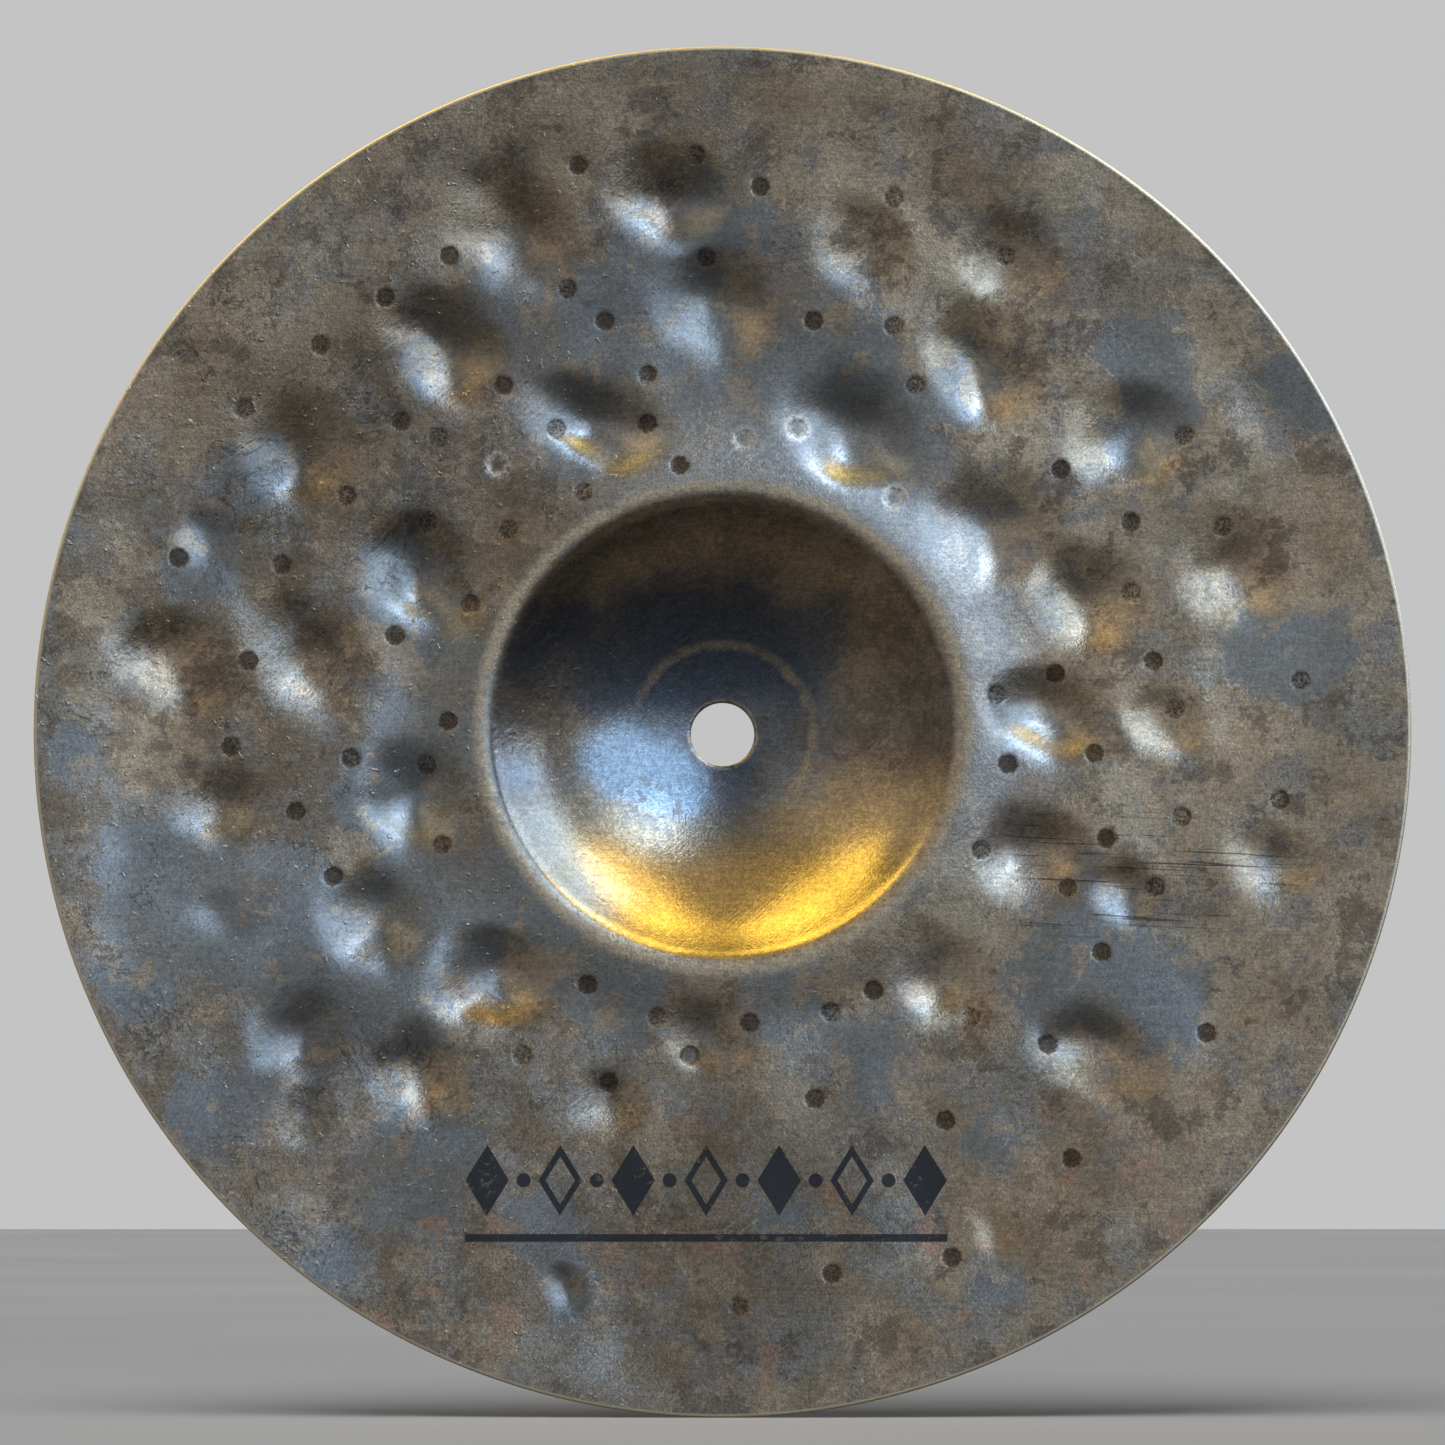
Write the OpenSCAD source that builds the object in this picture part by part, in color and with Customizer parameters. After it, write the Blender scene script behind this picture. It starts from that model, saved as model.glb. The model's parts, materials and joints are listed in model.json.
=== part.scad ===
// Unlathed bronze splash cymbal with heavy hammer dents, standing upright on its rim.
// Its axis lies along Y and its hollow underside faces -Y. The origin is the middle of
// the centre hole, halfway through the sheet.

/* [Cymbal] */
// Diameter over the rim
cymbal_d = 254; // [245:1:330]
// Thickness of the bronze sheet
sheet_t = 0.7; // [0.6:0.1:1.2]
// Diameter of the hole for the stud of a stand
hole_d = 12; // [8:0.5:14]
// Radius of the bow, the shallow dish outside the bell, on its underside
bow_r = 839.35; // [600:0.05:1100]

/* [Bell] */
// Diameter of the bell, over the crest of its rounded edge
bell_d = 90; // [80:1:92]
// Radius of the bell's dome, on the underside
dome_r = 70; // [65:1:90]
// Radius of the rounded edge between bell and bow, on the underside
edge_r = 5; // [3:0.5:8]

/* [Hammer dents] */
// Depth of a dent as a share of its width
dent_ratio = 0.075; // [0.05:0.005:0.09]

/* [Printed mark] */
// Number of lozenges in the printed row
lozenge_count = 7; // [3:2:7]
// Distance between the middles of two lozenges
lozenge_pitch = 13.4; // [12:0.2:14]
// Width of a lozenge
lozenge_w = 8; // [6:0.5:9]
// Height of a lozenge
lozenge_h = 13; // [10:0.5:13]
// Thickness of the ink
ink_t = 0.1; // [0.1:0.05:0.2]

/* [Hidden] */

$fn = 200;
dent_fn = 96;
rim_r = cymbal_d / 2;
hole_r = hole_d / 2;
bell_r = bell_d / 2;

// Centres of the three arcs of the half section, as [distance from the axis, height].
// The dome's is rounded to a tenth, which keeps the middle of the sheet at height 0 at the hole.
dome_c = [0, -round(10 * (dome_r + sheet_t / 2 - pow(hole_r, 2) / 2 / dome_r)) / 10];
edge_c = [bell_r, dome_c.y + sqrt(pow(dome_r + edge_r, 2) - pow(bell_r, 2))];
bow_c = [0, edge_c.y - sqrt(pow(bow_r + edge_r, 2) - pow(bell_r, 2))];

// Hammer dents, pushed in from the underside, as [x, z, width]
DENTS = [
    [-39, 93, 20], [-10, 99, 18], [26, 89, 16], [54, 86, 16], [-52, 71, 19], [-1, 79, 18],
    [48, 68, 18], [76, 54, 18], [-24, 57, 18], [24, 56, 20], [-79, 50, 19], [-94, 34, 12],
    [51, 37, 20], [95, 29, 18], [67, 24, 18], [-57, 29, 18], [-77, 13, 19], [-102, 12, 18],
    [60, 2, 18], [82, 0, 12], [-57, -13, 18], [-93, -15, 14], [58, -24, 18], [101, -26, 14],
    [74, -31, 12], [-64, -36, 16], [-94, -36, 10], [-43, -47, 18], [41, -47, 16],
    [-3, -58, 12], [-78, -58, 14], [68, -60, 16], [-56, -65, 16], [-21, -69, 12],
    [-76, -71, 9], [-29, -104, 8], [49, -92, 8]
];

// Middle and size of the printed mark: a row of lozenges and dots over a thin rule
mark_x = -3;
lozenge_z = -84;
rule_z = -94.5;
rule_w = 88;
rule_h = 1.4;
dot_d = 2.6;
lozenge_line = 1.3;

// The part of a ring within the triangle of its centre and two points outside the ring
module arc_band(centre, near_r, far_r, from, to) {
    intersection() {
        translate(centre) difference() {
            circle(far_r);
            circle(near_r);
        }
        polygon([centre, from, to]);
    }
}

// A dot inside the sheet, on the line from an arc's centre through the seam with the next arc.
// It holds the two arcs together where rounding leaves a hairline between them.
module seam_dot(centre, r, toward) {
    direction = toward - centre;
    translate(centre + (r + sheet_t / 2) * direction / norm(direction)) circle(sheet_t / 4, $fn = 24);
}

// Half section of the sheet: dome, rounded edge and bow, each tangent to the next
module section() {
    past_edge = bow_c + 2 * (edge_c - bow_c);
    past_rim = [bow_r, edge_c.y];
    intersection() {
        union() {
            arc_band(dome_c, dome_r, dome_r + sheet_t, [0, dome_r], dome_c + 2 * (edge_c - dome_c));
            arc_band(edge_c, edge_r - sheet_t, edge_r, dome_c, bow_c);
            arc_band(bow_c, bow_r, bow_r + sheet_t, past_edge, past_rim);
            seam_dot(dome_c, dome_r, edge_c);
            seam_dot(bow_c, bow_r, edge_c);
        }
        translate([hole_r, bow_c.y]) square([rim_r - hole_r, 2 * bow_r]);
    }
}

module smooth_cymbal() {
    rotate([-90, 0, 0]) rotate_extrude() section();
}

// A ball around the centre of the bow's curvature
module bow_ball(r) {
    translate([0, bow_c.y, 0]) sphere(r);
}

// The ball that shapes one dent, larger by grow, on the bow's own radius through the dent
module dent_ball(dent, grow) {
    half_w = dent.z / 2;
    depth = dent.z * dent_ratio;
    r = (pow(half_w, 2) + pow(depth, 2)) / 2 / depth;
    bow_y = sqrt(pow(bow_r, 2) - pow(dent.x, 2) - pow(dent.y, 2));
    outward = [dent.x, bow_y, dent.y] / bow_r;
    translate([0, bow_c.y, 0] + (bow_r + depth - r) * outward) sphere(r + grow, $fn = dent_fn);
}

module cymbal() {
    color("#6b6154") difference() {
        union() {
            smooth_cymbal();
            difference() {
                for (dent = DENTS) dent_ball(dent, sheet_t);
                bow_ball(bow_r + sheet_t / 2);
            }
        }
        for (dent = DENTS) dent_ball(dent, 0);
    }
}

module lozenge(w, h) {
    polygon([[-w / 2, 0], [0, -h / 2], [w / 2, 0], [0, h / 2]]);
}

// Every second lozenge is open, with a dot between each two
module mark_outline() {
    middle = (lozenge_count - 1) / 2;
    for (i = [0:lozenge_count - 1]) translate([(i - middle) * lozenge_pitch, lozenge_z]) difference() {
        lozenge(lozenge_w, lozenge_h);
        if (i % 2 == 1) lozenge(lozenge_w - 2 * lozenge_line, lozenge_h * (1 - 2 * lozenge_line / lozenge_w));
    }
    for (i = [0:lozenge_count - 2]) translate([(i + 0.5 - middle) * lozenge_pitch, lozenge_z]) circle(d = dot_d);
    translate([-rule_w / 2, rule_z - rule_h / 2]) square([rule_w, rule_h]);
}

// A thin layer on the underside of the bow
module printed_mark() {
    color("#14161a") intersection() {
        difference() {
            bow_ball(bow_r);
            bow_ball(bow_r - ink_t);
        }
        translate([mark_x, 0, 0]) rotate([90, 0, 0]) linear_extrude(rim_r) mark_outline();
    }
}

cymbal();
printed_mark();
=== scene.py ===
"""A small hammered bronze cymbal, seen on its hollow underside.

The CAD model gives the frame: the rim, the hole and the printed mark. Here the plain sheet is
replaced by one with soft dents, peen marks, a rounded cut edge and an aged bronze surface.
Lengths are in millimetres until a mesh is made, and x and z are measured from the hole.
"""

import json
import math
import random

import bpy
import numpy as np
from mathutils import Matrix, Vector, noise
from mathutils.geometry import delaunay_2d_cdt


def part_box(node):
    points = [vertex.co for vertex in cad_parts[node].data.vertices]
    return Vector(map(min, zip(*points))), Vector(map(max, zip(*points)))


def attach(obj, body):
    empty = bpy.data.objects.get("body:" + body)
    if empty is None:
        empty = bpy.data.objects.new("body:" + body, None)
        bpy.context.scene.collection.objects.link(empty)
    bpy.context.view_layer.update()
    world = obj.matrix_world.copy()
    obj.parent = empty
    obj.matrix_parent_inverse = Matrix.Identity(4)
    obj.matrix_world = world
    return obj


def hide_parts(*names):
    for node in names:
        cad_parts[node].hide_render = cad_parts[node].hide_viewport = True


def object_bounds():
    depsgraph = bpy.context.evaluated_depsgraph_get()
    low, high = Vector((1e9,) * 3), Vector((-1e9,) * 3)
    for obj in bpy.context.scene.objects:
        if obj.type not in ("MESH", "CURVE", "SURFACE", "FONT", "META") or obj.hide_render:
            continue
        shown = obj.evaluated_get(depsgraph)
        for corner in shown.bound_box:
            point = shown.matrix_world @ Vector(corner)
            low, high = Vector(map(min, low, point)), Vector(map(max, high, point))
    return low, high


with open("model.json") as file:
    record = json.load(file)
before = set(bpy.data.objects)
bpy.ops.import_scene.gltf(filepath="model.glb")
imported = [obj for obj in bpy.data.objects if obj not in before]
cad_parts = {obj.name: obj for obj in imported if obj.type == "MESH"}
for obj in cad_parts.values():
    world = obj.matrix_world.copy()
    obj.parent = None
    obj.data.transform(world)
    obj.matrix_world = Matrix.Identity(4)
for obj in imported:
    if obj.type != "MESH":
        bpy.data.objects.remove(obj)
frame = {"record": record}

MM = 0.001
cad_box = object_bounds()

# ---------------------------------------------------------------- sizes, as in the CAD source
DOME_R, EDGE_R, BOW_R = 70.0, 5.0, 839.35
BELL_R = 45.0
SHEET_T = 0.7
LOZENGES, LOZENGE_PITCH = 7, 13.4
LOZENGE_W, LOZENGE_H, LOZENGE_LINE = 8.0, 13.0, 1.3
DOT_D, RULE_H = 2.6, 1.4
rim_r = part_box("cymbal")[1].x / MM
hole_r = frame["record"]["mounts"][0]["dims"]["r_mm"]
# Heights of the centres of the three arcs
dome_y = -70.1
edge_y = dome_y + math.sqrt((DOME_R + EDGE_R) ** 2 - BELL_R**2)
bow_y = edge_y - math.sqrt((BOW_R + EDGE_R) ** 2 - BELL_R**2)

# ---------------------------------------------------------------- places of dents, peens and areas
# Hammer dents, as (x, z, width, depth)
DENTS = [
    (-39, 93, 20, 1.9), (-10, 99, 18, 2.2), (26, 89, 16, 1.2), (54, 86, 16, 1.2), (-52, 71, 19, 2.2),
    (-1, 79, 18, 2.0), (48, 68, 18, 2.3), (76, 54, 18, 2.3), (-24, 57, 18, 2.4), (24, 56, 20, 2.3),
    (-79, 50, 19, 2.0), (-94, 34, 12, 0.8), (51, 37, 20, 2.3), (95, 29, 18, 1.9), (67, 24, 18, 2.1),
    (-57, 29, 18, 2.4), (-77, 13, 19, 2.0), (-102, 12, 18, 1.9), (60, 2, 18, 2.5), (82, 0, 12, 1.3),
    (-57, -13, 18, 2.3), (-93, -15, 14, 1.4), (58, -24, 18, 2.1), (101, -26, 14, 1.2),
    (74, -31, 12, 1.2), (-64, -36, 16, 2.0), (-94, -36, 10, 0.5), (-43, -47, 18, 2.7),
    (41, -47, 16, 1.5), (-3, -58, 12, 1.3), (-78, -58, 14, 1.6), (68, -60, 16, 1.9),
    (-56, -65, 16, 2.1), (-21, -69, 12, 1.3), (-76, -71, 9, 0.6), (-29, -104, 8, 0.8),
    (49, -92, 8, 0.5),
]
# A dent fades out at this share of its width from its middle
DENT_REACH = 0.77
# A noise moves the outlines of the dents: its size, and the shift where it is strongest
OUTLINE_NOISE_SIZE, OUTLINE_SHIFT = 9, 2.2

# Small round peen marks, as (x, z)
PEENS = [
    (-5, 107), (-27, 105), (7, 101), (32, 99), (-51, 88), (-3, 88), (53, 88), (-29, 82), (-63, 80),
    (-22, 76), (17, 76), (32, 75), (-75, 71), (-14, 66), (-41, 64), (36, 64), (-89, 59), (-60, 57),
    (-14, 57), (-31, 56), (14, 56), (-53, 54), (4, 54), (86, 54), (-42, 49), (-8, 49), (63, 48),
    (-26, 44), (-70, 43), (32, 43), (-55, 38), (76, 38), (-40, 37), (93, 37), (-101, 31), (-82, 30),
    (76, 25), (-47, 23), (-61, 17), (-88, 12), (80, 12), (62, 10), (107, 8), (51, 6), (84, 3),
    (-51, 1), (-91, -4), (69, -5), (-69, -6), (53, -7), (-55, -7), (103, -14), (-79, -16), (85, -17),
    (71, -21), (-52, -22), (48, -23), (-72, -28), (64, -30), (80, -30), (70, -42), (-25, -48),
    (28, -49), (20, -53), (46, -54), (-12, -54), (5, -55), (89, -57), (60, -59), (-6, -61),
    (-37, -61), (-21, -66), (17, -69), (41, -73), (64, -80), (42, -98), (20, -101), (3, -107),
]
PEEN_R = 1.85
PEEN_DEPTH, PEEN_DEPTH_ON_TOP = 0.1, 0.07

# Low, irregular waves that hammering leaves in the bow, as (height, size, seed)
WAVES = [(0.75, 30, 3.1), (0.24, 11, 7.7), (0.035, 4.5, 5.2)]

# The worn crest that stands out round the bell's edge
CREST_HEIGHT, CREST_R, CREST_WIDTH = 1.2, 45.5, 8

# Peens by the bell that wear pale scuff marks, as (x, z)
SCUFFED = [(4, 54), (14, 56), (32, 43), (-42, 49)]

# Areas of the surface, each a soft spot at (x, z, radius). First the oxide's blue-grey areas,
# its tan and brown ones, and the paler parts of the bow, partly painted sheen, and its duskier
# parts. Then, inside the bell, nearly black areas of painted shade, a bright blue painted
# reflection and small dark spots.
AREAS = {
    "slate": [
        (10, 70, 20), (26, 57, 12), (34, 41, 9), (-27, 56, 12), (-32, 75, 14), (78, 70, 9),
        (84, 58, 6), (107, 64, 8), (113, 60, 6), (76, 52, 6), (46, 62, 7), (102, 14, 10),
        (111, 13, 7), (52, 34, 8), (57, 0, 9), (-86, 49, 8), (-97, 31, 9), (-60, 27, 9),
        (-52, 68, 8), (-41, 87, 8), (-52, 6, 14), (-64, -12, 9), (-104, -26, 13), (-120, -5, 5),
        (-85, -36, 14), (-52, -30, 13), (-36, -40, 9), (-62, -50, 12), (-80, -58, 8), (-108, -48, 8),
        (-92, -72, 10), (-56, -82, 14), (-33, -93, 7), (-72, -100, 6), (-18, -51, 10), (10, -51, 8),
        (28, -62, 9), (-28, -104, 5), (66, -49, 14), (-38, -10, 6), (-34, -22, 6), (-27, -32, 5),
        (80, -51, 10), (50, -76, 7), (70, -32, 7), (10, -91, 6), (50, -103, 5), (0, 98, 8),
        (-12, 88, 8),
    ],
    "tan": [
        (-80, 78, 26), (-52, 105, 22), (-98, 62, 15), (-24, 112, 14), (20, 112, 22), (36, 92, 13),
        (5, 77, 7), (-18, 59, 6), (52, 69, 9), (-45, 69, 6), (-69, 50, 9), (-46, 44, 9),
        (-66, 14, 7), (-98, 15, 8), (-100, -7, 9), (-118, 22, 6), (56, 35, 8), (72, 22, 9),
        (95, 34, 10), (61, 8, 8), (88, -1, 10), (64, -24, 11), (90, -24, 12), (112, 38, 12),
        (-38, -46, 5), (-76, -57, 7), (-53, -65, 8), (-15, -72, 6), (2, -61, 9), (36, -66, 8),
        (46, -91, 8), (60, -90, 9), (-14, -86, 8), (21, -98, 7), (-3, -112, 6), (80, -66, 8),
        (100, -58, 10), (86, -82, 12), (30, -112, 10), (-45, -110, 8), (-90, -88, 6),
    ],
    "pale": [
        (82, 5, 24), (104, 12, 14), (48, 46, 16), (76, 62, 18), (-108, 2, 16), (-45, -43, 12),
        (-60, -3, 12), (-104, -34, 14),
    ],
    "dusky": [
        (-4, -82, 20), (26, -90, 18), (-34, -96, 18), (6, -108, 16), (-46, 44, 18), (-68, 68, 22),
        (-42, 96, 18), (-2, 106, 16), (-72, -56, 14), (-84, 46, 14),
    ],
    "bell_painted_shade": [
        (-37, 12, 6), (-30, 20, 6), (-15, 20, 11), (3, 20, 12), (14, 12, 8), (-8, 11, 9),
        (20, 20, 7), (-24, 8, 7), (2, -6, 5),
    ],
    "bell_painted_blue_reflection": [(-15, -6, 8), (-7, -11, 6), (-22, -5, 6)],
    "bell_spots": [(-15, -13, 5), (-9, -15, 4)],
}
# The most that overlapping spots of an area may add up to
AREA_LIMITS = {"pale": 1.2, "dusky": 1.2}


# ---------------------------------------------------------------- shape of the sheet
def smooth_step(low, high, value):
    t = np.clip((value - low) / (high - low), 0, 1)
    return t * t * (3 - 2 * t)


def profile(r):
    """Height of the undented underside: dome, rounded bell edge and bow."""
    dome_end = DOME_R * BELL_R / (DOME_R + EDGE_R)
    bow_start = BOW_R * BELL_R / (BOW_R + EDGE_R)
    dome = dome_y + np.sqrt(np.maximum(DOME_R**2 - r**2, 0))
    edge = edge_y - np.sqrt(np.maximum(EDGE_R**2 - (r - BELL_R) ** 2, 0))
    bow = bow_y + np.sqrt(BOW_R**2 - r**2)
    return np.where(r < dome_end, dome, np.where(r < bow_start, edge, bow))


def perlin(x, z, size, seed):
    return np.array([noise.noise(Vector((a / size, seed, b / size))) for a, b in zip(x, z)])


def dent_field(x, z):
    """Depth of the hammer dents, each a soft oval hollow that leans to the right."""
    draw = random.Random(11)
    total = np.zeros_like(x)
    shift_x = OUTLINE_SHIFT * perlin(x, z, OUTLINE_NOISE_SIZE, 1.3)
    shift_z = OUTLINE_SHIFT * perlin(x, z, OUTLINE_NOISE_SIZE, 2.9)
    x, z = x + shift_x, z + shift_z
    for cx, cz, width, depth in DENTS:
        turn = math.radians(draw.uniform(-70, -20))
        oval = draw.uniform(1.0, 1.24)
        u = (x - cx) * math.cos(turn) + (z - cz) * math.sin(turn)
        v = (z - cz) * math.cos(turn) - (x - cx) * math.sin(turn)
        q = (u / oval) ** 2 + (v * oval) ** 2
        total += depth * np.clip(1 - q / (DENT_REACH * width) ** 2, 0, 1) ** 3
    return total


def nearest(points, x, z):
    """Distance to the nearest of some points."""
    gap = np.full_like(x, 99.0)
    for cx, cz in points:
        gap = np.minimum(gap, np.hypot(x - cx, z - cz))
    return gap


def peen_field(x, z):
    """Share of a peen mark at each point: 1 inside a mark, 0 outside."""
    return 1 - smooth_step(PEEN_R - 0.5, PEEN_R + 0.25, nearest(PEENS, x, z))


def underside(x, z):
    """Height of the finished underside at each point."""
    r = np.hypot(x, z)
    crest = CREST_HEIGHT * np.exp(-(((r - CREST_R) / CREST_WIDTH) ** 2)) * smooth_step(32, 43, r)
    dents = dent_field(x, z) * smooth_step(46, 52, r)
    on_bow = smooth_step(47, 60, r) * (1 - smooth_step(rim_r - 14, rim_r, r))
    waves = on_bow * sum(height * perlin(x, z, size, seed) for height, size, seed in WAVES)
    return profile(r) - crest + dents + waves + PEEN_DEPTH * peen_field(x, z)


def area(spots, x, z):
    """Soft spots that add up, 1 at the middle of a single one."""
    share = np.zeros_like(x)
    for cx, cz, radius in spots:
        share += np.exp(-((x - cx) ** 2 + (z - cz) ** 2) / radius**2)
    return share


# ---------------------------------------------------------------- points of the cymbal's mesh
# Distances between points: on the bow, by the bell's edge, in a dent (outward and round), and
# round a peen
BOW_STEP, BELL_EDGE_STEP, DENT_GAP, DENT_STEP, PEEN_STEP = 1.7, 0.6, 1.1, 1.15, 0.62
# Radii of the circles of points round a peen, and of the place that they clear
PEEN_CIRCLES = (0.5, 1.0, 1.4, 1.65, 1.9, 2.2, 2.6)
PEEN_CLEARING = 2.9
# Share of a dent's width that its own circles of points fill, outward from the middle
DENT_FILL = 0.66
# Turn of each circle of points against the last one, as a share of a step
TWIST = 0.37
HOLE_POINTS, RIM_POINTS = 96, 760


def circle(radius, count, turn=0.0, centre=(0.0, 0.0)):
    a = (np.arange(count) + turn) * 2 * math.pi / count
    return np.column_stack([centre[0] + radius * np.cos(a), centre[1] + radius * np.sin(a)])


def cleared(points, cx, cz, reach):
    """The points that are further than reach from (cx, cz)."""
    return points[np.hypot(points[:, 0] - cx, points[:, 1] - cz) > reach]


def base_points(hole_edge, rim_edge):
    """Circles round the axis, closer together by the bell's edge."""
    radii = [hole_edge]
    while radii[-1] < rim_edge:
        radii.append(radii[-1] + (BELL_EDGE_STEP if 40 < radii[-1] < 48 else BOW_STEP))
    circles = [circle(hole_edge, HOLE_POINTS)]
    for i, r in enumerate(radii[1:]):
        if r < rim_edge - 0.9:
            circles.append(circle(r, int(2 * math.pi * r / BOW_STEP), 0.5 * (i % 2)))
    return np.vstack(circles)


def with_dent_points(points):
    added = []
    for cx, cz, width, _ in DENTS:
        reach = DENT_FILL * width
        points = cleared(points, cx, cz, reach)
        steps = int(reach / DENT_GAP)
        for k in range(1, steps + 1):
            r = reach * k / steps - 0.2
            count = max(6, int(2 * math.pi * r / DENT_STEP))
            added.append(circle(r, count, TWIST * k, (cx, cz)))
    return np.vstack([points, *added])


def with_peen_points(points):
    added = []
    for cx, cz in PEENS:
        points = cleared(points, cx, cz, PEEN_CLEARING)
        for k, r in enumerate(PEEN_CIRCLES):
            added.append(circle(r, int(2 * math.pi * r / PEEN_STEP), TWIST * k, (cx, cz)))
    return np.vstack([points, *added])


def cymbal_points(hole_edge, rim_edge):
    """All points of the sheet, closer in the dents and closest at the peens."""
    points = with_peen_points(with_dent_points(base_points(hole_edge, rim_edge)))
    r = np.hypot(points[:, 0], points[:, 1])
    inner = points[(r > hole_edge + 0.7) & (r < rim_edge - 1.0)]
    return np.vstack([
        circle(hole_edge, HOLE_POINTS), circle(hole_edge + 0.3, HOLE_POINTS, 0.5), inner,
        circle(rim_edge - 0.35, RIM_POINTS, 0.5), circle(rim_edge, RIM_POINTS),
    ])


# ---------------------------------------------------------------- meshes
# The rounded cut edge, as (bulge, share of the way from the underside to the top)
EDGE_ROUNDING = 0.4
CUT_EDGE = [
    (0.2, 0.06), (0.31, 0.14), (0.38, 0.26), (0.4, 0.4),
    (0.4, 0.6), (0.38, 0.74), (0.31, 0.86), (0.2, 0.94),
]


def face_one_way(flat, tris):
    """Turn round the triangles that run clockwise."""
    a, b, c = (flat[tris[:, i]] for i in range(3))
    turn = (b[:, 0] - a[:, 0]) * (c[:, 1] - a[:, 1]) - (b[:, 1] - a[:, 1]) * (c[:, 0] - a[:, 0])
    tris[turn < 0] = tris[turn < 0][:, ::-1]


def triangles_of(points, hole_edge):
    """Delaunay triangles of flat points, none of them inside the hole."""
    verts, _, faces, *_ = delaunay_2d_cdt([Vector(p) for p in points], [], [], 0, 1e-7)
    flat = np.array([(v.x, v.y) for v in verts])
    tris = np.array([f[:] for f in faces])
    centre = flat[tris].mean(axis=1)
    tris = tris[np.hypot(centre[:, 0], centre[:, 1]) > hole_edge]
    face_one_way(flat, tris)
    return flat, tris


def closed_sheet(name, flat, tris, near, far, outward=None, steps=()):
    """A closed mesh between two heights of the same triangles.

    The rim between them bulges by each step's first number, in mm, at its second, a share of
    the way from near to far. Returns the object and the place of each vertex in mm.
    """
    n = len(flat)
    edges = np.vstack([tris[:, [0, 1]], tris[:, [1, 2]], tris[:, [2, 0]]]).tolist()
    known = set(map(tuple, edges))
    border = [(a, b) for a, b in edges if (b, a) not in known]
    border_verts = sorted({a for a, _ in border})
    index = {v: i for i, v in enumerate(border_verts)}
    bv = np.array(border_verts)
    rows = [np.column_stack([flat[:, 0], near, flat[:, 1]])]
    for bulge, share in steps:
        place = flat[bv] + bulge * outward[bv]
        height = near[bv] + share * (far[bv] - near[bv])
        rows.append(np.column_stack([place[:, 0], height, place[:, 1]]))
    rows.append(np.column_stack([flat[:, 0], far, flat[:, 1]]))
    far_start = n + len(steps) * len(bv)

    def vertex(level, v):
        if level == 0:
            return v
        if level == len(steps) + 1:
            return far_start + v
        return n + (level - 1) * len(bv) + index[v]

    faces = tris.tolist() + (tris[:, ::-1] + far_start).tolist()
    for a, b in border:
        for level in range(len(steps) + 1):
            up = level + 1
            faces.append((vertex(level, b), vertex(level, a), vertex(up, a), vertex(up, b)))
    verts = np.vstack(rows)
    mesh = bpy.data.meshes.new(name)
    mesh.from_pydata((verts * MM).tolist(), [], faces)
    mesh.shade_smooth()
    mesh.update()
    obj = bpy.data.objects.new(name, mesh)
    bpy.context.scene.collection.objects.link(obj)
    return obj, verts


def add_attribute(obj, name, values):
    attribute = obj.data.attributes.new(name, "FLOAT", "POINT")
    attribute.data.foreach_set("value", np.asarray(values, dtype=np.float32))


def add_surface_attributes(obj, verts, top_count):
    """What the bronze reads: distances to the peens, the side, the cut edge and the areas."""
    x, z = verts[:, 0], verts[:, 2]
    top_side = np.zeros(len(verts))
    top_side[-top_count:] = 1
    add_attribute(obj, "peen_gap", np.minimum(nearest(PEENS, x, z), 9))
    add_attribute(obj, "scuff_gap", np.minimum(nearest(SCUFFED, x, z), 9))
    add_attribute(obj, "top_side", top_side)
    add_attribute(obj, "cut_edge", smooth_step(rim_r - 0.7, rim_r - 0.35, np.hypot(x, z)))
    side_x = np.where(top_side > 0, -x, x)
    for name, spots in AREAS.items():
        share = area(spots, side_x, z)
        add_attribute(obj, name, np.minimum(share, AREA_LIMITS.get(name, np.inf)))


def make_cymbal():
    hole_edge, rim_edge = hole_r + EDGE_ROUNDING, rim_r - EDGE_ROUNDING
    flat, tris = triangles_of(cymbal_points(hole_edge, rim_edge), hole_edge)
    r = np.hypot(flat[:, 0], flat[:, 1])
    near = underside(flat[:, 0], flat[:, 1])
    slope = (profile(r + 0.05) - profile(r - 0.05)) / 0.1
    peens = PEEN_DEPTH_ON_TOP * peen_field(flat[:, 0], flat[:, 1])
    far = near + SHEET_T * np.sqrt(1 + slope**2) - peens
    outward = np.where(r < 2 * hole_r, -1, 1)[:, None] * flat / r[:, None]
    obj, verts = closed_sheet("hammered_cymbal", flat, tris, near, far, outward, CUT_EDGE)
    add_surface_attributes(obj, verts, len(flat))
    return obj


# ---------------------------------------------------------------- printed mark
# How far the ink stands out of the sheet, and its whole thickness
INK_PROUD, INK_T = 0.05, 0.08


def patch(cols, rows, place, wrap=False):
    """Flat points and triangles of a grid, where place(u, v) maps 0..1 to x and z."""
    across = cols if wrap else cols + 1
    u, v = np.meshgrid(np.linspace(0, 1, cols + 1)[:across], np.linspace(0, 1, rows + 1))
    flat = np.column_stack(place(u.ravel(), v.ravel()))
    tris = []
    for row in range(rows):
        for col in range(cols):
            a, b = row * across + col, row * across + (col + 1) % across
            tris += [(a, b, b + across), (a, b + across, a + across)]
    return flat, np.array(tris)


def full_lozenge(x0, z0):
    def place(u, v):
        return x0 + (u - v) * LOZENGE_W / 2, z0 + (u + v - 1) * LOZENGE_H / 2

    return patch(9, 9, place)


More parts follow.
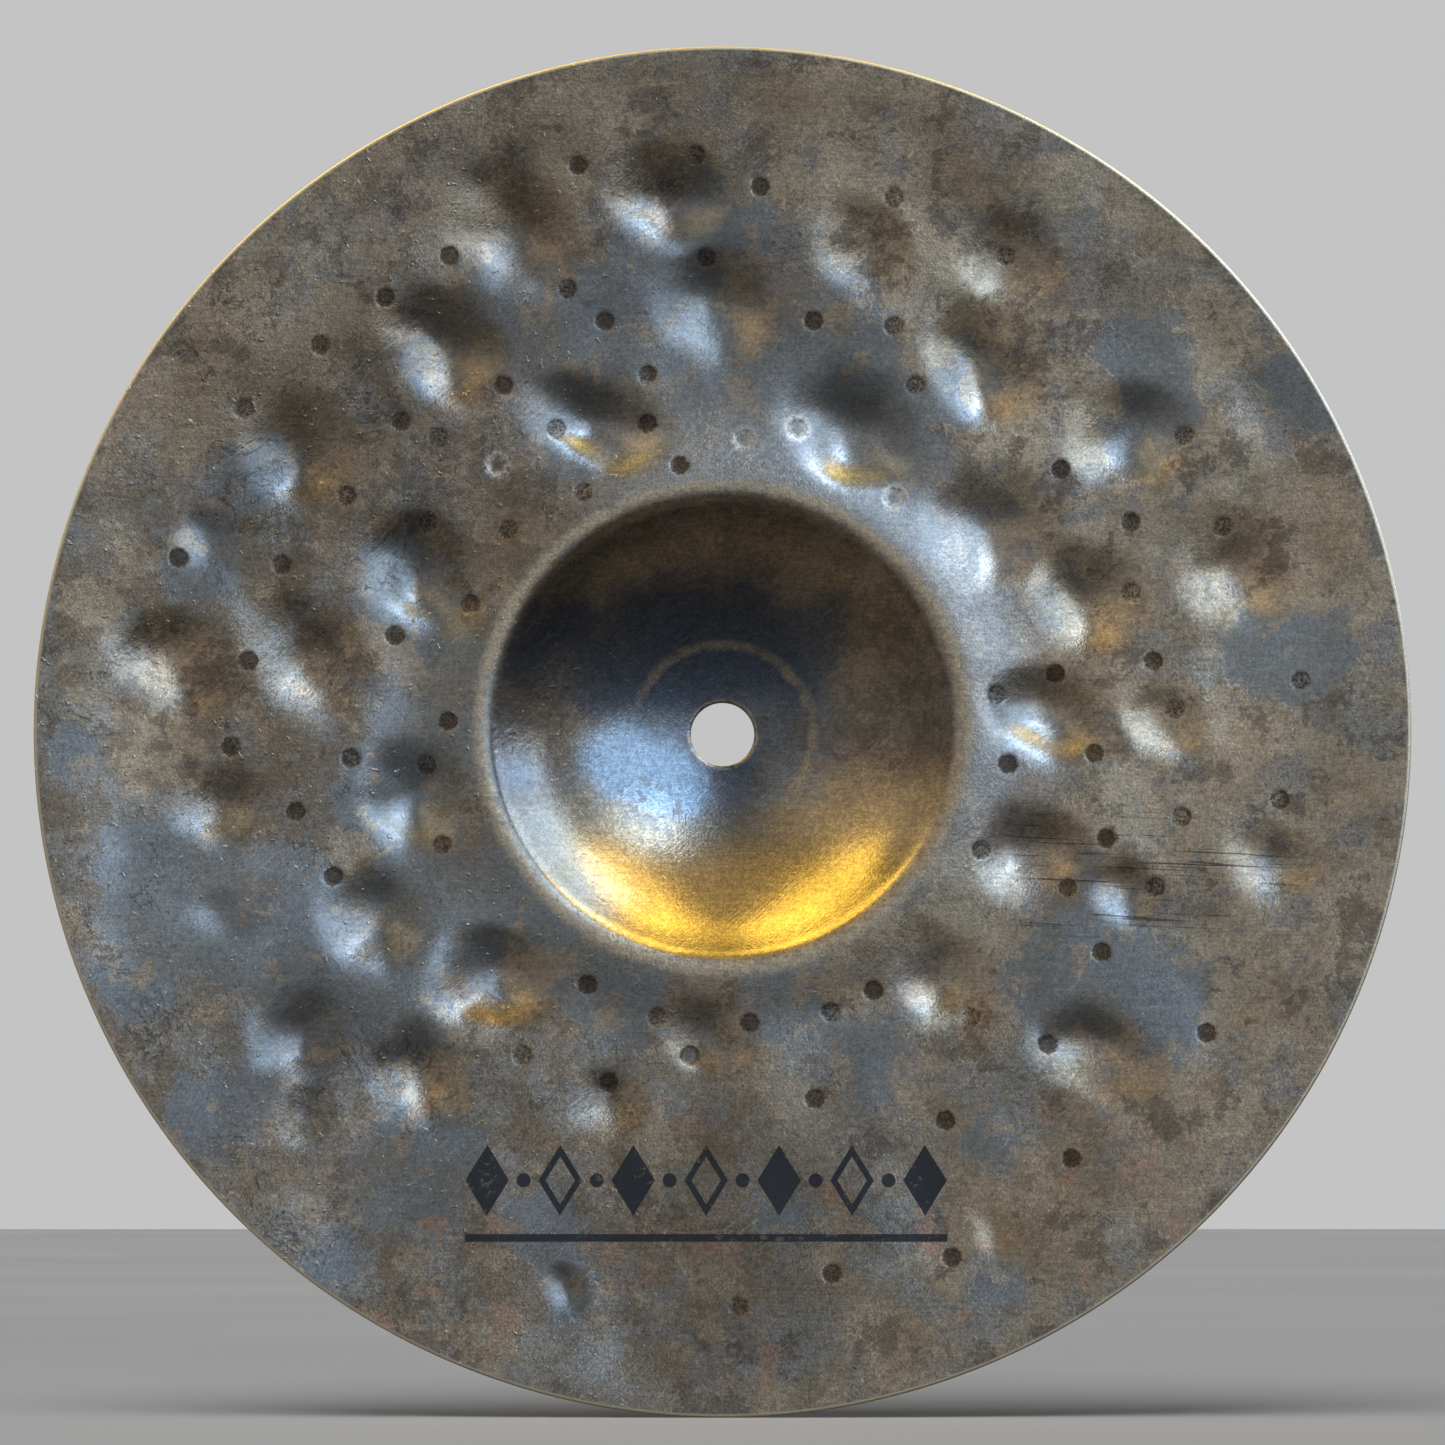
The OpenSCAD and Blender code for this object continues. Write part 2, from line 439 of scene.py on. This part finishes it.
def open_lozenge(x0, z0):
    inner = 1 - 2 * LOZENGE_LINE / LOZENGE_W

    def place(u, v):
        side = np.floor(u * 4) % 4
        t = u * 4 - np.floor(u * 4)
        x = np.select([side == 0, side == 1, side == 2], [1 - t, -t, t - 1], t)
        z = np.select([side == 0, side == 1, side == 2], [t, 1 - t, -t], t - 1)
        size = 1 - v * (1 - inner)
        return x0 + x * size * LOZENGE_W / 2, z0 + z * size * LOZENGE_H / 2

    return patch(40, 2, place, wrap=True)


def dot(x0, z0):
    def place(u, v):
        a, b = 2 * u - 1, 2 * v - 1
        x = a * np.sqrt(1 - b * b / 2)
        z = b * np.sqrt(1 - a * a / 2)
        return x0 + x * DOT_D / 2, z0 + z * DOT_D / 2

    return patch(8, 8, place)


def rule(low, high):
    def place(u, v):
        return low.x / MM + u * (high.x - low.x) / MM, low.z / MM + v * RULE_H

    return patch(88, 2, place)


def make_mark():
    """Seven lozenges, every second one open, with dots between them, over a thin rule."""
    low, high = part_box("printed_mark")
    centre_x = (low.x + high.x) / 2 / MM
    row_z = high.z / MM - LOZENGE_H / 2
    parts = [rule(low, high)]
    for i in range(LOZENGES):
        x0 = centre_x + (i - (LOZENGES - 1) / 2) * LOZENGE_PITCH
        parts.append(open_lozenge(x0, row_z) if i % 2 else full_lozenge(x0, row_z))
        if i < LOZENGES - 1:
            parts.append(dot(x0 + LOZENGE_PITCH / 2, row_z))
    flats, tris = [], []
    start = 0
    for flat, faces in parts:
        flats.append(flat)
        tris.append(faces + start)
        start += len(flat)
    flat, tris = np.vstack(flats), np.vstack(tris)
    face_one_way(flat, tris)
    near = underside(flat[:, 0], flat[:, 1]) - INK_PROUD
    mark, _ = closed_sheet("printed_mark_ink", flat, tris, near, near + INK_T)
    mark.data.set_sharp_from_angle(angle=math.radians(40))
    return mark


# ---------------------------------------------------------------- node helpers
class Nodes:
    """Short calls that add nodes to one material or world."""

    def __init__(self, owner):
        owner.use_nodes = True
        self.owner = owner
        self.tree = owner.node_tree

    def add(self, kind, inputs=None, out=0, **settings):
        """Add a node and return one of its outputs."""
        node = self.tree.nodes.new("ShaderNode" + kind)
        for key, value in settings.items():
            setattr(node, key, value)
        for key, value in (inputs or {}).items():
            self.put(node.inputs[key], value)
        return node.outputs[out]

    def put(self, socket, value):
        if isinstance(value, bpy.types.NodeSocket):
            self.tree.links.new(value, socket)
        else:
            socket.default_value = value

    def math(self, operation, a, b=0.0, c=0.0, clamp=False):
        return self.add("Math", {0: a, 1: b, 2: c}, operation=operation, use_clamp=clamp)

    def times(self, a, b, *more):
        product = self.math("MULTIPLY", a, b)
        return self.times(product, *more) if more else product

    def plus(self, a, b):
        return self.math("ADD", a, b)

    def minus(self, a, b):
        return self.math("SUBTRACT", a, b)

    def times_plus(self, a, b, c):
        """a times b, plus c."""
        return self.math("MULTIPLY_ADD", a, b, c)

    def mix(self, share, a, b, blend="MIX"):
        return self.add("Mix", {0: share, 6: a, 7: b}, 2, data_type="RGBA", blend_type=blend)

    def blend(self, share, a, b):
        return self.add("Mix", {0: share, 2: a, 3: b}, 0, data_type="FLOAT")

    def band(self, value, low, high, first=0.0, last=1.0):
        inputs = {0: value, 1: low, 2: high, 3: first, 4: last}
        return self.add("MapRange", inputs, interpolation_type="SMOOTHSTEP")

    def noise(self, vector, size, detail=4.0, rough=0.5, distort=0.0):
        """Noise with features about size mm wide."""
        inputs = {"Vector": vector, "Scale": 1 / size}
        inputs |= {"Detail": detail, "Roughness": rough, "Distortion": distort}
        return self.add("TexNoise", inputs)

    def attribute(self, name):
        return self.add("Attribute", {}, 2, attribute_name=name)

    def object_mm(self):
        """The object's own coordinates, in millimetres."""
        metres = self.add("TexCoord", {}, 3)
        return self.add("VectorMath", {0: metres, 3: 1 / MM}, operation="SCALE")

    def finish(self, **inputs):
        shader = self.tree.nodes["Principled BSDF"]
        for key, value in inputs.items():
            self.put(shader.inputs[key.replace("_", " ")], value)
        return self.owner


def new_material(name):
    return Nodes(bpy.data.materials.new(name))


def colour(r, g, b):
    return (r, g, b, 1.0)


def grey(level):
    return colour(level, level, level)


class Sheet:
    """Coordinates on the bronze sheet, in millimetres, that its surface layers share."""

    def __init__(self, n):
        self.n = n
        mm = n.object_mm()
        # The top side reads every noise from another place, so that the sides differ
        shift = n.add("CombineXYZ", {1: n.times(n.attribute("top_side"), 400.0)})
        self.at = n.add("VectorMath", {0: mm, 1: shift}, operation="ADD")
        split = n.add("SeparateXYZ", {0: mm})
        self.x, self.z = split, split.node.outputs[2]
        square = n.plus(n.times(self.x, self.x), n.times(self.z, self.z))
        self.r = n.math("SQRT", square)
        self.bell = n.band(self.r, 42.5, 44.0, 1.0, 0.0)

    def ring(self, radius, width, blur, wander=0.0):
        """1 within a ring of this width, fading over blur; its radius wanders with a noise."""
        n = self.n
        off = n.times(n.minus(n.noise(self.at, 3.0), 0.5), wander)
        gap = n.math("ABSOLUTE", n.plus(n.minus(self.r, radius), off))
        return n.band(gap, width / 2, width / 2 + blur, 1.0, 0.0)

    def stretched(self, turn, length, width, seed, detail=1.0):
        """Noise drawn out along a straight line at this many degrees to the x axis."""
        n = self.n
        turned = n.add("VectorRotate", {0: self.at, 3: math.radians(turn)}, rotation_type="Y_AXIS")
        inputs = {0: turned, 1: (1 / length, 0.02, 1 / width), 2: (seed, seed, seed)}
        place = n.add("VectorMath", inputs, operation="MULTIPLY_ADD")
        return n.add("TexNoise", {"Vector": place, "Scale": 1.0, "Detail": detail})


def ragged(n, on, value, low, high, depth=0.22):
    """A band whose edge is broken up by the grain of the oxide."""
    crumbs = n.noise(on.at, 1.6, 4, 0.8)
    return n.band(n.times_plus(crumbs, depth, value), low + depth / 2, high + depth / 2)


# ---------------------------------------------------------------- layers of the bronze surface
def slate_share(n, on):
    """Share of blue-grey oxide, in smooth areas with broken edges."""
    uneven = n.times(n.noise(on.at, 10, 4, 0.6, 1.1), 0.6)
    slate = n.times_plus(n.attribute("slate"), 0.45, uneven)
    return n.blend(0.6, n.band(slate, 0.36, 0.68), ragged(n, on, slate, 0.48, 0.53))


def oxide_colour(n, on, slate):
    """Brown oxide, darker to the left and the bottom, with lavender, olive and blue-grey areas."""
    left, right = colour(0.285, 0.228, 0.168), colour(0.51, 0.43, 0.32)
    base = n.mix(n.band(on.x, -70, 60), left, right)
    bottom = n.times(n.band(on.z, -40, -80), 0.4)
    base = n.mix(bottom, base, colour(0.22, 0.175, 0.125))
    lavender = ragged(n, on, n.noise(on.at, 13, 5, 0.62), 0.47, 0.56)
    base = n.mix(lavender, base, colour(0.34, 0.318, 0.28))
    olive = n.times(ragged(n, on, n.noise(on.at, 7, 4, 0.6, 0.5), 0.53, 0.58), 0.5)
    base = n.mix(olive, base, colour(0.27, 0.215, 0.135))
    return n.mix(slate, base, colour(0.278, 0.298, 0.303))


def tan_patches(n, on, slate, base):
    """Soft tan areas, sharp-edged tan patches in them, and crumbs."""
    tan = n.times(n.attribute("tan"), 0.16)
    soft = n.times(n.band(n.plus(tan, n.noise(on.at, 24, 3)), 0.5, 0.8), 0.5)
    base = n.mix(soft, base, colour(0.40, 0.28, 0.165))
    sharp = ragged(n, on, n.plus(tan, n.noise(on.at, 9, 4, 0.62)), 0.59, 0.62, 0.4)
    base = n.mix(n.times(sharp, 0.55), base, colour(0.56, 0.43, 0.285))
    here = n.band(n.plus(tan, n.noise(on.at, 16, 2)), 0.45, 0.65)
    crumbs = n.times(n.band(n.noise(on.at, 2.0, 5, 0.8), 0.565, 0.60), here)
    crumbs = n.times(crumbs, n.blend(slate, 0.55, 0.15))
    return n.mix(crumbs, base, colour(0.64, 0.48, 0.32))


def brown_clouds(n, on, slate, base):
    """Dark granular stains, and copper ones low on the cymbal."""
    cloud = ragged(n, on, n.noise(on.at, 11, 5, 0.62, 0.2), 0.565, 0.61, 0.4)
    base = n.mix(n.times(cloud, n.blend(slate, 0.55, 0.1)), base, colour(0.12, 0.088, 0.064))
    low = n.band(on.z, -30.0, -90.0)
    copper = n.times(ragged(n, on, n.noise(on.at, 8.5, 4, 0.6), 0.60, 0.63, 0.35), low)
    return n.mix(n.times(copper, 0.6), base, colour(0.56, 0.34, 0.22))


def tide_lines(n, on, base):
    """Thin dark outlines on the left."""
    field = n.noise(on.at, 14, 5, 0.66, 0.8)
    line = n.band(n.math("ABSOLUTE", n.minus(field, 0.56)), 0.006, 0.014, 1.0, 0.0)
    left = n.band(on.x, 40.0, -90.0)
    here = n.times(n.band(n.noise(on.at, 20, 2), 0.46, 0.6), left)
    return n.mix(n.times(line, here, 0.6), base, colour(0.06, 0.052, 0.05))


def dark_specks(n, on, base):
    speck = n.band(n.noise(on.at, 0.9, 3, 0.75), 0.56, 0.64)
    dirty = n.band(n.noise(on.at, 13, 3), 0.38, 0.65, 0.25, 1.0)
    return n.mix(n.times(speck, dirty, 0.5), base, colour(0.09, 0.07, 0.055))


def pale_and_dusky(n, base):
    # Pale spots lighten the colour, partly as painted sheen on the left edge and the right of the
    # bow; dusky spots darken it, mostly at the bottom and upper left
    shade = n.times_plus(n.attribute("pale"), 0.3, 1.0)
    shade = n.times_plus(n.attribute("dusky"), -0.27, shade)
    return n.mix(1.0, base, shade, "MULTIPLY")


def bell_inside(n, on):
    """Blue-black in the middle and brown outside, with painted shade in the upper part, a painted
    blue reflection, a painted gold reflection low down, and dark drops.
    """
    blue, brown = colour(0.155, 0.195, 0.245), colour(0.37, 0.295, 0.205)
    outer = n.plus(n.band(on.r, 13, 29), n.times(n.attribute("slate"), -0.8))
    uneven = n.minus(n.noise(on.at, 10, 7, 0.65), 0.5)
    inside = n.mix(n.math("ADD", outer, uneven, clamp=True), blue, brown)
    streaks = n.times(n.band(n.noise(on.at, 5, 5, 0.74, 0.4), 0.5, 0.58), 0.4)
    inside = n.mix(streaks, inside, colour(0.12, 0.105, 0.09))
    murk = n.times(ragged(n, on, n.noise(on.at, 9, 5, 0.66, 0.4), 0.50, 0.56), 0.4)
    inside = n.mix(murk, inside, colour(0.15, 0.122, 0.11))
    cloudy = n.times(n.minus(n.noise(on.at, 8, 5, 0.68), 0.5), 1.6)
    # Painted shade: nearly black blue areas over the upper part of the bell's hollow
    dark = n.times(n.band(n.plus(n.attribute("bell_painted_shade"), cloudy), 0.25, 1.1), 0.8)
    inside = n.mix(dark, inside, colour(0.042, 0.078, 0.135))
    # Painted reflection: gold colour over the bell's lower part, where it faces the warm lamps
    painted_gold_reflection = n.times(n.band(on.z, -9, -24), 0.5)
    inside = n.mix(painted_gold_reflection, inside, colour(0.62, 0.51, 0.32))
    # Painted reflection: a bright blue area to the left of and below the hole
    sheen = n.times(n.band(n.plus(n.attribute("bell_painted_blue_reflection"), cloudy), 0.2, 1.0), 0.8)
    inside = n.mix(sheen, inside, colour(0.31, 0.43, 0.54))
    drops = n.band(n.noise(on.at, 2.4, 2, 0.4, 0.6), 0.54, 0.56)
    drops = n.times(drops, n.attribute("bell_spots"), 0.75)
    return n.mix(drops, inside, colour(0.13, 0.14, 0.15))


def washer_rings(n, on, base):
    """A ring that a washer left inside the bell, strongest at the upper right, and a worn lip."""
    side = n.plus(on.z, n.times(on.x, 0.7))
    washer = n.times(on.ring(17.0, 0.4, 1.3, 1.5), n.band(side, -10, 8, 0.12, 1.0))
    washer = n.times(washer, n.band(n.noise(on.at, 3, 4, 0.7), 0.35, 0.55, 0.35, 1.0), 0.75)
    base = n.mix(washer, base, colour(0.44, 0.36, 0.25))
    lip = n.times(on.ring(6.3, 0.5, 0.4, 0.8), n.band(n.noise(on.at, 1.5, 2), 0.35, 0.5), 0.6)
    return n.mix(lip, base, colour(0.55, 0.44, 0.3))


def bell_edge(n, on, base):
    """The worn ring round the bell, and a pale worn area to the right of it, partly a painted sheen.
    """
    broken = n.band(n.noise(on.at, 2, 4, 0.75), 0.35, 0.6, 0.45, 1.0)
    worn = n.times(on.ring(45.2, 0.6, 1.8, 1.6), broken, 0.9)
    upper_right = n.band(n.plus(on.x, on.z), 5, 40)
    # Pale area by the bell's upper right: worn bright and partly painted sheen
    worn_and_painted_sheen = n.times(n.band(on.r, 70, 50), upper_right)
    worn_and_painted_sheen = n.times(worn_and_painted_sheen, n.minus(0.55, n.times(on.bell, 0.55)))
    base = n.mix(worn_and_painted_sheen, base, colour(0.50, 0.50, 0.49))
    return n.mix(worn, base, colour(0.60, 0.48, 0.33))


def hairlines(n, on):
    """Share of pale hairlines: sanding arcs round the bell and straight lines in patches."""
    angle = n.math("ARCTAN2", on.z, on.x)
    arc = n.add("CombineXYZ", {0: n.times(angle, 7.0), 1: n.times(on.r, 6.5)})
    arcs = n.band(n.add("TexNoise", {"Vector": arc, "Scale": 1.0, "Detail": 1.0}), 0.66, 0.74)
    round_bell = n.band(on.r, 50.0, 66.0, 1.0, 0.0)
    pale = n.times(arcs, round_bell, n.minus(1.0, on.bell))
    for turn, seed, least, detail in ((38, 3.0, 0.67, 4), (55, 8.0, 0.70, 9), (-20, 5.0, 0.73, 6)):
        lines = n.band(on.stretched(turn, 9.0, 0.2, seed), least, least + 0.05)
        patchy = n.band(n.noise(on.at, 22, detail), 0.42, 0.62)
        pale = n.math("MAXIMUM", pale, n.times(lines, patchy, 0.7))
    return pale


def dark_scores(n, on, base):
    """A bundle of dark, nearly level scores to the right of the bell."""
    scores = n.band(on.stretched(-3, 22.0, 0.5, 12.0), 0.64, 0.68)
    right = n.times(n.band(on.x, 46, 62), n.band(on.x, 96, 112, 1.0, 0.0))
    level = n.times(n.band(on.z, -42, -34), n.band(on.z, -20, -14, 1.0, 0.0))
    return n.mix(n.times(scores, right, level, 0.8), base, colour(0.04, 0.034, 0.03))


def peen_marks(n, on, base):
    """Dark brown, granular peen marks with ragged edges; a few by the bell are scuffed pale."""
    wobble = n.times(n.minus(n.noise(on.at, 0.7, 3, 0.7), 0.5), 1.3)
    gap = n.plus(n.attribute("peen_gap"), wobble)
    mark = n.band(gap, PEEN_R - 0.25, PEEN_R + 0.2, 1.0, 0.0)
    grains = n.band(n.noise(on.at, 0.5, 3, 0.7), 0.38, 0.62)
    faded = n.band(n.noise(on.at, 14, 2), 0.36, 0.52)
    mark = n.times(mark, n.blend(faded, n.blend(grains, 0.9, 0.3), 0.93))
    mark = n.times(mark, n.band(n.attribute("scuff_gap"), 1.2, 2.4, 0.35, 1.0))
    dirt = n.mix(grains, colour(0.018, 0.013, 0.01), colour(0.105, 0.07, 0.045))
    base = n.mix(mark, base, dirt)
    from_ring = n.math("ABSOLUTE", n.minus(n.attribute("scuff_gap"), 1.9))
    worn = n.band(n.noise(on.at, 0.9, 4, 0.7), 0.40, 0.50)
    scuff = n.times(n.band(from_ring, 0.3, 1.2, 1.0, 0.0), worn, 0.8)
    return n.mix(scuff, base, colour(0.68, 0.64, 0.57)), mark


def fine_grain(n, on, slate, base):
    """A sandy grain in two sizes, weaker on blue-grey oxide, and faint level brush lines."""
    coarse = n.noise(on.at, 1.1, 3, 0.75)
    fine = n.noise(on.at, 0.42, 2, 0.6)
    brushed = on.stretched(0, 5.0, 0.3, 21.0, 2.0)
    share = n.blend(slate, 1.0, 0.8)
    for value, depth in ((coarse, 0.17), (fine, 0.20), (brushed, 0.09)):
        grain = n.mix(n.band(value, 0.32, 0.68), grey(1 - depth), grey(1 + depth))
        base = n.mix(share, base, grain, "MULTIPLY")
    sanded = on.stretched(42, 8.0, 0.35, 31.0, 2.0)
    height = n.times(coarse, n.blend(on.bell, 0.5, 0.2))
    height = n.times_plus(fine, 0.8, height)
    height = n.times_plus(sanded, 0.6, height)
    height = n.times(height, n.blend(slate, 1.0, 0.55))
    specks = n.band(n.noise(on.at, 1.5, 1), 0.70, 0.76, 0.0, 1.6)
    specks = n.times(specks, n.band(on.x, 10.0, -50.0, 0.15, 1.0))
    return base, n.plus(height, specks)


def bronze_material():
    n = new_material("aged_bronze")
    on = Sheet(n)
    slate = slate_share(n, on)
    base = oxide_colour(n, on, slate)
    base = tan_patches(n, on, slate, base)
    base = brown_clouds(n, on, slate, base)
    base = tide_lines(n, on, base)
    base = dark_specks(n, on, base)
    base = pale_and_dusky(n, base)
    base = n.mix(n.times(on.bell, 0.9), base, bell_inside(n, on))
    base = washer_rings(n, on, base)
    base = bell_edge(n, on, base)
    base = n.mix(n.times(hairlines(n, on), 0.6), base, colour(0.62, 0.58, 0.52))
    base = dark_scores(n, on, base)
    base, mark = peen_marks(n, on, base)
    base, grain = fine_grain(n, on, slate, base)
    # Bare bronze on the cut edge, in a colour brighter than the metal: partly a painted highlight
    # round the rim
    edge = n.attribute("cut_edge")
    base = n.mix(edge, base, colour(0.85, 0.74, 0.54))

    worn = on.ring(45.0, 0.6, 2.2)
    uneven = n.noise(on.at, 8, 4, 0.6)
    rough = n.blend(uneven, n.blend(slate, 0.20, 0.22), n.blend(slate, 0.37, 0.32))
    rough = n.blend(on.bell, rough, 0.21)
    rough = n.blend(worn, rough, 0.38)
    rough = n.blend(mark, rough, 0.6)
    rough = n.blend(edge, rough, 0.38)
    strength = n.blend(on.bell, 0.45, 0.3)
    bump = n.add("Bump", {"Strength": strength, "Distance": 0.0001, "Height": grain})
    coat = n.blend(worn, n.blend(on.bell, 0.3, 0.2), 0.0)
    return n.finish(
        Base_Color=base, Metallic=1.0, Roughness=rough, Normal=bump,
        Coat_Weight=coat, Coat_Roughness=0.24, Coat_IOR=2.0, Coat_Normal=bump,
    )


# ---------------------------------------------------------------- other materials
def ink_material():
    """Black printing ink, slightly glossy, rubbed through to the bronze in small spots."""
    n = new_material("printing_ink")
    mm = n.object_mm()
    fine, broad = n.noise(mm, 1.2, 8, 0.75), n.noise(mm, 9, 2)
    rubbed = n.band(n.plus(n.times(fine, 0.7), n.times(broad, 0.3)), 0.565, 0.60)
    grain = n.noise(mm, 0.45, 2)
    ink = n.mix(n.band(grain, 0.3, 0.7), colour(0.007, 0.010, 0.016), colour(0.016, 0.020, 0.030))
    metal = n.times(rubbed, 0.8)
    tone = n.mix(metal, ink, colour(0.20, 0.17, 0.13))
    rough = n.blend(n.noise(mm, 3, 3), 0.26, 0.42)
    bump = n.add("Bump", {"Strength": 0.3, "Distance": 0.00005, "Height": grain})
    return n.finish(Base_Color=tone, Metallic=metal, Roughness=rough, Normal=bump)


def plain_stage_material():
    n = new_material("pale_floor")
    place = n.add("TexCoord", {}, 3)
    tone = n.band(n.add("TexNoise", {"Vector": place, "Scale": 3.0}), 0.3, 0.7, 0.60, 0.64)
    shade = n.add("CombineXYZ", {0: tone, 1: tone, 2: tone})
    return n.finish(Base_Color=shade, Roughness=0.9, Specular_IOR_Level=0.0)


# ---------------------------------------------------------------- stage, light and camera
COOL, PALE = (0.57, 0.75, 1.0), (1.0, 0.98, 0.95)
WARM, AMBER, STRAW = (1.0, 0.80, 0.52), (1.0, 0.70, 0.25), (1.0, 0.78, 0.25)
GOLD = (1.0, 0.69, 0.10)

# The camera looks up by the angle at which the real cymbal leans back
CAMERA_DISTANCE, LEAN_DEGREES = 0.9, 5.6
# Width of the picture, in diameters of the cymbal
PICTURE_WIDTH = 1.04862

# Brightness of the room, as (height, level), from straight below (0) to straight above (1)
ROOM = [
    (0.18, 0.08), (0.33, 0.11), (0.42, 0.20), (0.50, 0.30),
    (0.58, 0.30), (0.67, 0.18), (0.85, 0.12),
]


def aim(azimuth, elevation):
    """Direction from the cymbal: azimuth 0 is in front, positive to the right."""
    a, e = math.radians(azimuth), math.radians(elevation)
    return Vector((math.sin(a) * math.cos(e), -math.cos(a) * math.cos(e), math.sin(e)))


def add_lamp(name, data, azimuth, elevation, distance, on_floor):
    lamp = bpy.data.objects.new(name, data)
    lamp.location = aim(azimuth, elevation) * distance
    lamp.rotation_euler = aim(azimuth, elevation).to_track_quat("Z", "Y").to_euler()
    lamp.visible_camera = False
    lamp.visible_diffuse = on_floor
    lamp.visible_glossy = not on_floor
    bpy.context.scene.collection.objects.link(lamp)


def softbox(name, azimuth, elevation, wide, high, distance, radiance, tint, shape="RECTANGLE"):
    """A soft light that covers wide by high degrees as seen from the cymbal."""
    data = bpy.data.lights.new(name, "AREA")
    data.shape = shape
    data.size = 2 * distance * math.tan(math.radians(wide / 2))
    data.size_y = 2 * distance * math.tan(math.radians(high / 2))
    filled = math.pi / 4 if shape == "ELLIPSE" else 1
    data.energy = radiance * math.pi * data.size * data.size_y * filled
    data.color = tint
    add_lamp(name, data, azimuth, elevation, distance, on_floor=False)


def floor_light():
    """A broad, even light that only the floor shows."""
    data = bpy.data.lights.new("floor_light", "SUN")
    data.energy = 1.5
    data.angle = math.radians(50)
    add_lamp("floor_light", data, -20, 65, 1.6, on_floor=True)


def make_lights():
    """Lamps that the bronze reflects: a cool window on the right, and gold ones above."""
    floor_light()
    softbox("window", 24, 18, 34, 30, 1.0, 1.4, COOL)
    softbox("window_core", 23, 32, 15, 9, 0.95, 6.0, COOL)
    softbox("side_window", 80, 36, 48, 50, 1.0, 2.5, COOL)
    softbox("gold_right", 44, 57, 24, 40, 1.0, 2.6, GOLD, "ELLIPSE")
    softbox("gold_left", -54, 58, 30, 44, 1.0, 2.5, GOLD, "ELLIPSE")
    softbox("ceiling", 0, 56, 36, 32, 1.0, 0.36, AMBER)
    softbox("overhead", 0, 84, 50, 24, 1.0, 1.4, GOLD)
    softbox("warm_left", -58, 29, 80, 24, 1.0, 0.5, WARM)
    softbox("low_left", -86, -30, 6, 50, 1.2, 0.8, PALE)
    softbox("high_left", -88, 42, 6, 50, 1.2, 2.5, STRAW)
    softbox("fill_left", -50, -26, 50, 36, 1.2, 0.07, WARM)
    softbox("low_front", -10, -58, 90, 28, 1.0, 0.07, WARM)
    softbox("back_window", 152, 30, 40, 40, 1.0, 1.8, COOL)
    softbox("back_warm", -140, 48, 50, 30, 1.0, 1.5, WARM)


def make_stage(floor_z):
    mesh = bpy.data.meshes.new("floor")
    half = 6.0
    corners = [(-half, -half), (half, -half), (half, half), (-half, half)]
    mesh.from_pydata([(x, y, floor_z) for x, y in corners], [], [(0, 1, 2, 3)])
    mesh.materials.append(plain_stage_material())
    floor = bpy.data.objects.new("floor", mesh)
    floor.visible_glossy = False
    bpy.context.scene.collection.objects.link(floor)


def room_light(n, direction):
    """Light of the dim room by height, dimmer to the sides."""
    height = n.add("MapRange", {0: direction.outputs[2], 1: -1.0, 2: 1.0})
    ramp = n.add("ValToRGB", {0: height})
    elements = ramp.node.color_ramp.elements
    for _ in ROOM[2:]:
        elements.new(0.9)
    for element, (position, level) in zip(elements, ROOM):
        element.position = position
        element.color = colour(level * 0.97, level * 0.98, level)
    depth = n.math("ABSOLUTE", direction.outputs[1])
    fade = n.add("MapRange", {0: depth, 1: 0.40, 2: 0.95, 3: 0.6})
    return n.add("VectorMath", {0: ramp, 3: fade}, operation="SCALE")


def make_world():
    """A dim room round the cymbal, which the camera sees as a pale wall."""
    n = Nodes(bpy.data.worlds.new("studio"))
    direction = n.add("SeparateXYZ", {0: n.add("TexCoord")}).node
    wall = n.mix(n.add("LightPath"), room_light(n, direction), grey(0.55))
    n.put(n.tree.nodes["Background"].inputs[0], wall)
    bpy.context.scene.world = n.owner


def make_camera(rim_centre):
    """It looks up at the upright cymbal, which fills 95% of the picture."""
    data = bpy.data.cameras.new("camera")
    camera = bpy.data.objects.new("camera", data)
    lean = math.radians(-LEAN_DEGREES)
    seen_width = 2 * rim_r * MM * PICTURE_WIDTH
    data.lens = data.sensor_width * CAMERA_DISTANCE / seen_width
    back = Vector((0, -math.cos(lean), math.sin(lean)))
    camera.location = rim_centre + back * CAMERA_DISTANCE
    camera.rotation_euler = back.to_track_quat("Z", "Y").to_euler()
    bpy.context.scene.collection.objects.link(camera)
    bpy.context.scene.camera = camera


cad_low = cad_box[0]
make_camera(Vector((0, cad_low.y, 0)))
make_stage(cad_low.z)
make_world()
make_lights()

cymbal = make_cymbal()
cymbal.data.materials.append(bronze_material())
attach(cymbal, "root")
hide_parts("cymbal")

mark = make_mark()
mark.data.materials.append(ink_material())
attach(mark, "root")
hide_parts("printed_mark")

bpy.context.scene.view_settings.view_transform = "Standard"
